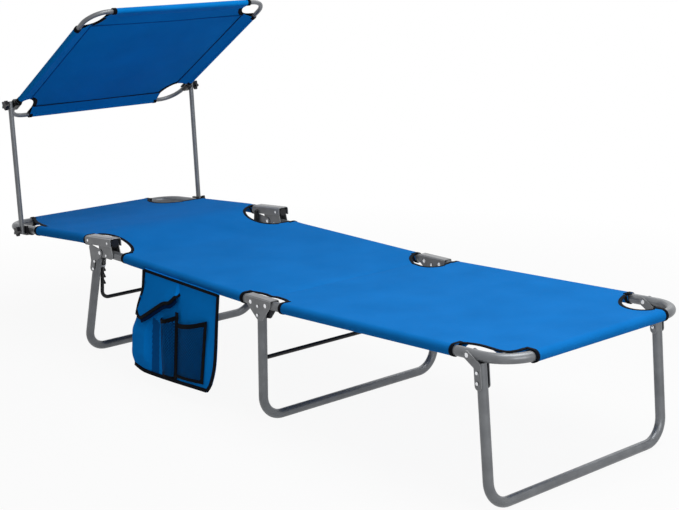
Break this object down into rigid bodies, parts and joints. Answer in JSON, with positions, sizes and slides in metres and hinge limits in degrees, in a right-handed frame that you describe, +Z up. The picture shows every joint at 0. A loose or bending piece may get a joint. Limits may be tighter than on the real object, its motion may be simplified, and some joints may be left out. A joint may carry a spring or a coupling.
{
  "type": "sun lounger with canopy",
  "caption": "Folding tube-framed sun lounger with a blue fabric bed, hinged legs, a tilting canopy on posts and a hanging storage bag.",
  "frame": {"origin": "on the ground, at the middle of the outline in plan", "axes": "+X along the bed towards the foot end, +Z up, -Y is the side that carries the storage bag"},
  "size_m": [1.9394, 0.6474, 0.9219],
  "materials": {
    "grey_frame": "smooth grey powder coat with a sheen",
    "grey_plate": "smooth grey powder coat on pressed sheet",
    "rivet_steel": "bright plated steel",
    "black_rod": "black paint",
    "black_plastic": "matte black moulded plastic",
    "blue_fabric": "plain woven fabric with black edge binding"
  },
  "bodies": {
    "mid_section": {"mid_rail_near": "grey_frame", "mid_rail_far": "grey_frame", "link_plate_outer_near": "grey_plate", "link_plate_outer_far": "grey_plate", "link_plate_inner_near": "grey_plate", "link_plate_inner_far": "grey_plate", "mid_cover": "blue_fabric", "storage_bag": "blue_fabric"},
    "head_section": {"head_frame": "grey_frame", "head_channel_near": "grey_plate", "head_channel_far": "grey_plate", "head_tube_plug_near": "black_plastic", "head_tube_plug_far": "black_plastic", "head_hinge_pin_near": "rivet_steel", "head_hinge_pin_far": "rivet_steel", "post_base_clamp_near": "black_plastic", "post_base_clamp_far": "black_plastic", "head_cover": "blue_fabric"},
    "stay": {"stay_rod": "black_rod", "stay_rack_near": "black_plastic", "stay_rack_far": "black_plastic"},
    "head_leg": {"head_leg": "grey_frame", "head_leg_plate_outer_near": "grey_plate", "head_leg_plate_outer_far": "grey_plate", "head_leg_plate_inner_near": "grey_plate", "head_leg_plate_inner_far": "grey_plate", "head_leg_pin_near": "rivet_steel", "head_leg_pin_far": "rivet_steel", "stay_catch_near": "rivet_steel", "stay_catch_far": "rivet_steel"},
    "mid_leg": {"mid_leg": "grey_frame", "mid_leg_cross_rod": "black_rod", "fold_saddle_near": "grey_plate", "fold_saddle_far": "grey_plate", "mid_fold_pin_near": "rivet_steel", "mid_fold_pin_far": "rivet_steel", "foot_fold_pin_near": "rivet_steel", "foot_fold_pin_far": "rivet_steel", "fold_cover": "blue_fabric"},
    "foot_section": {"foot_frame": "grey_frame", "foot_cover": "blue_fabric"},
    "foot_leg": {"foot_leg": "grey_frame", "foot_leg_plate_outer_near": "grey_plate", "foot_leg_plate_outer_far": "grey_plate", "foot_leg_plate_inner_near": "grey_plate", "foot_leg_plate_inner_far": "grey_plate", "foot_leg_pin_near": "rivet_steel", "foot_leg_pin_far": "rivet_steel"},
    "canopy_posts": {"canopy_post_near": "grey_frame", "canopy_post_far": "grey_frame"},
    "canopy": {"canopy_hoop_lower": "grey_frame", "canopy_hoop_upper": "grey_frame", "canopy_cover": "blue_fabric", "post_top_clamp_near": "black_plastic", "post_top_clamp_far": "black_plastic"},
    "base_knob_near": {"star_knob_base_near": "black_plastic"},
    "base_knob_far": {"star_knob_base_far": "black_plastic"},
    "top_knob_near": {"star_knob_top_near": "black_plastic"},
    "top_knob_far": {"star_knob_top_far": "black_plastic"}
  },
  "joints": [
    {"name": "head_fold", "type": "hinge", "parent": "mid_section", "child": "head_section", "pos_m": [-0.41226, 0, 0.32857], "axis": [0, 1, 0], "range_deg": [0, 85]},
    {"name": "stay_swing", "type": "hinge", "parent": "head_section", "child": "stay", "pos_m": [-0.49399, 0, 0.3219], "axis": [0, 1, 0], "range_deg": [0, 25]},
    {"name": "head_leg_fold", "type": "hinge", "parent": "mid_section", "child": "head_leg", "pos_m": [-0.45158, 0, 0.29698], "axis": [0, -1, 0], "range_deg": [0, 105]},
    {"name": "mid_leg_fold", "type": "hinge", "parent": "mid_section", "child": "mid_leg", "pos_m": [0.17738, 0, 0.2905], "axis": [0, 1, 0], "range_deg": [0, 90]},
    {"name": "foot_fold", "type": "hinge", "parent": "mid_leg", "child": "foot_section", "pos_m": [0.23038, 0, 0.2905], "axis": [0, -1, 0], "range_deg": [-90, 0]},
    {"name": "foot_leg_fold", "type": "hinge", "parent": "foot_section", "child": "foot_leg", "pos_m": [0.8548, 0, 0.31748], "axis": [0, -1, 0], "range_deg": [-92.8, 0]},
    {"name": "post_swing", "type": "hinge", "parent": "head_section", "child": "canopy_posts", "pos_m": [-0.83356, 0, 0.29674], "axis": [0, -1, 0], "range_deg": [-50, 95]},
    {"name": "canopy_tilt", "type": "hinge", "parent": "canopy_posts", "child": "canopy", "pos_m": [-0.85404, 0, 0.64665], "axis": [0, 1, 0], "range_deg": [-90, 65]},
    {"name": "base_knob_near_turn", "type": "hinge", "parent": "head_section", "child": "base_knob_near", "pos_m": [-0.83356, -0.313, 0.29674], "axis": [0, 1, 0], "continuous": true},
    {"name": "base_knob_far_turn", "type": "hinge", "parent": "head_section", "child": "base_knob_far", "pos_m": [-0.83356, 0.313, 0.29674], "axis": [0, 1, 0], "continuous": true},
    {"name": "top_knob_near_turn", "type": "hinge", "parent": "canopy_posts", "child": "top_knob_near", "pos_m": [-0.85404, -0.313, 0.64665], "axis": [0, 1, 0], "continuous": true},
    {"name": "top_knob_far_turn", "type": "hinge", "parent": "canopy_posts", "child": "top_knob_far", "pos_m": [-0.85404, 0.313, 0.64665], "axis": [0, 1, 0], "continuous": true}
  ]
}
